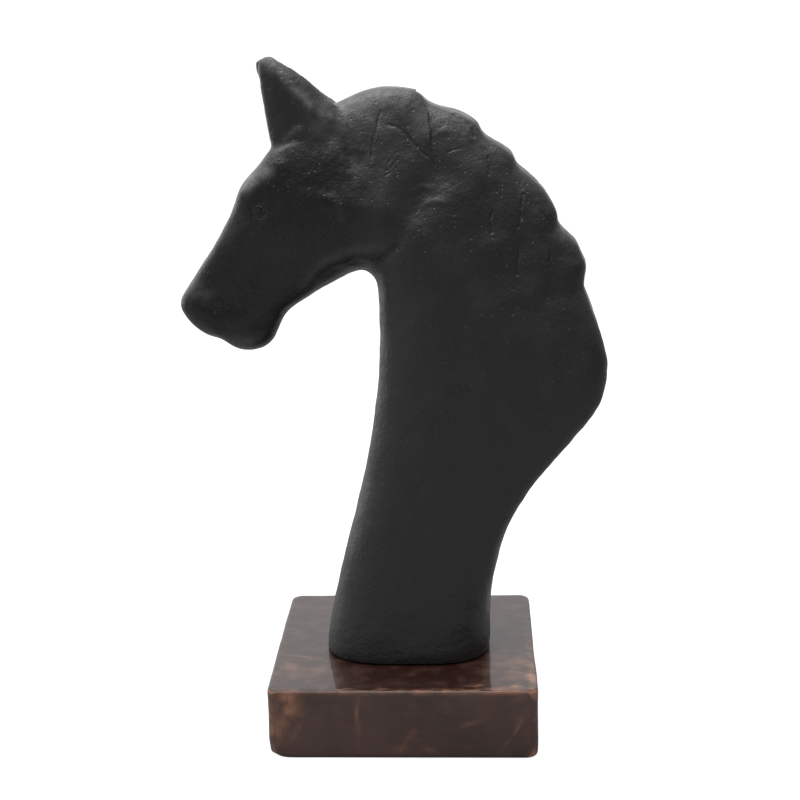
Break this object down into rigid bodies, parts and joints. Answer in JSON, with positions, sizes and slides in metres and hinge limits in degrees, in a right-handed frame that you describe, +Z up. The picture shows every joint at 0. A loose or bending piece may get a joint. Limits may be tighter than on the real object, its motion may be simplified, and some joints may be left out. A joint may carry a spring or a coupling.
{
  "type": "papier-mache horse head",
  "caption": "Black papier-mache sculpture of a horse's head on a long arched neck, standing on a square stained wooden plinth.",
  "frame": {"origin": "centre of the plinth's underside, on the surface that the sculpture stands on", "axes": "+Z up, the horse looks towards -X, and its left side faces -Y"},
  "size_m": [0.1986, 0.125, 0.3178],
  "materials": {
    "black_papier_mache": "matte black paint over papier-mache, with a faint sheen",
    "stained_wood": "dark brown stain under a satin lacquer, rubbed through at the edges"
  },
  "bodies": {
    "root": {"horse_head": "black_papier_mache", "plinth": "stained_wood"}
  },
  "joints": []
}
